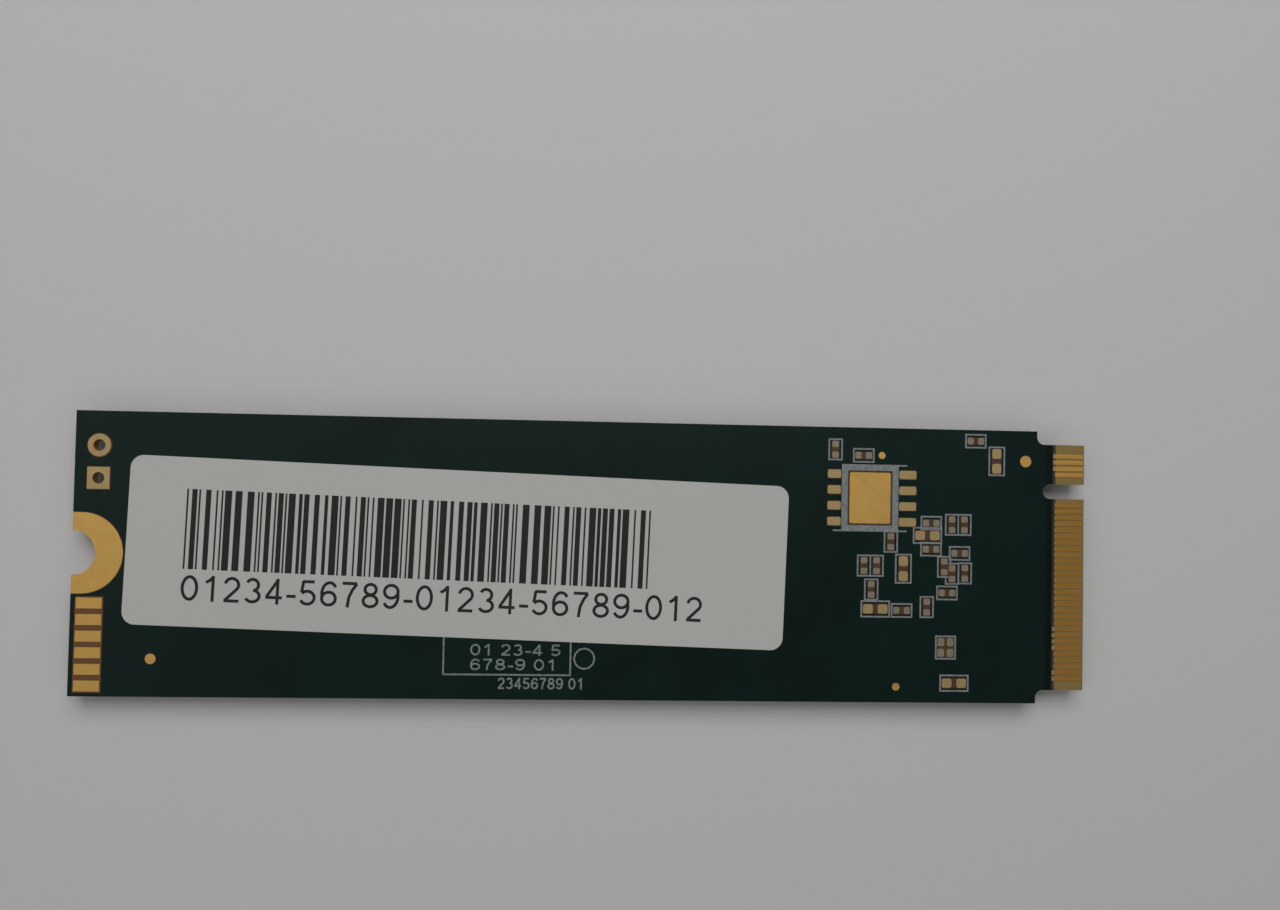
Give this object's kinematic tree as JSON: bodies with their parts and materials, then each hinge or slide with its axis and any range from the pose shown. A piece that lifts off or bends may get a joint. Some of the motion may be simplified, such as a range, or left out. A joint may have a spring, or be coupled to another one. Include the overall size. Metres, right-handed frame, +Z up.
{
  "type": "gumstick solid state drive",
  "caption": "Thin circuit-board storage drive with a notched gold edge connector, a half-round screw notch, a paper label on one side and memory chips on the other.",
  "frame": {"origin": "middle of the footprint, level with the flat tops of the tallest chips, which the drive lies on", "axes": "+X along the board towards the edge contacts, +Y across it towards the header holes, +Z up out of the label side"},
  "size_m": [0.08, 0.022, 0.0021],
  "materials": {
    "laminate": "matt, with a glass weave",
    "solder_mask": "semi-gloss",
    "soft_gold": "satin, thin gold over nickel",
    "hard_gold": "satin, darker than the pads",
    "label_paper": "matt",
    "label_ink": "matt",
    "board_print": "matt",
    "moulding": "fine-grained matt",
    "chip_carrier": "semi-gloss",
    "solder": "bright satin",
    "lid_metal": "satin",
    "capacitor_ceramic": "matt",
    "resistor_ceramic": "semi-gloss",
    "crystal_ceramic": "matt",
    "ferrite": "matt"
  },
  "bodies": {
    "root": {"laminate_board": "laminate", "solder_mask_label_side": "solder_mask", "solder_mask_chip_side": "solder_mask", "edge_contacts_label_side": "hard_gold", "edge_contacts_chip_side": "hard_gold", "gold_screw_land": "soft_gold", "round_header_hole": "soft_gold", "square_header_hole": "soft_gold", "test_pads": "soft_gold", "spare_chip_pads": "soft_gold", "spare_component_pads": "soft_gold", "alignment_dots": "soft_gold", "printed_outlines": "board_print", "paper_label": "label_paper", "label_bars": "label_ink", "controller_body": "moulding", "buffer_memory_body": "moulding", "flash_memory_1_body": "moulding", "flash_memory_2_body": "moulding", "power_chip_body": "moulding", "regulator_body": "moulding", "controller_carrier": "chip_carrier", "buffer_memory_carrier": "chip_carrier", "flash_memory_1_carrier": "chip_carrier", "flash_memory_2_carrier": "chip_carrier", "controller_solder_balls": "solder", "buffer_memory_solder_balls": "solder", "flash_memory_1_solder_balls": "solder", "flash_memory_2_solder_balls": "solder", "power_chip_leads": "solder", "regulator_leads": "solder", "inductor_terminals": "solder", "small_capacitor_terminals": "solder", "large_capacitor_terminals": "solder", "resistor_terminals": "solder", "crystal_base": "crystal_ceramic", "crystal_lid": "lid_metal", "inductor_bodies": "ferrite", "small_capacitor_bodies": "capacitor_ceramic", "large_capacitor_bodies": "capacitor_ceramic", "resistor_bodies": "resistor_ceramic"}
  },
  "joints": []
}
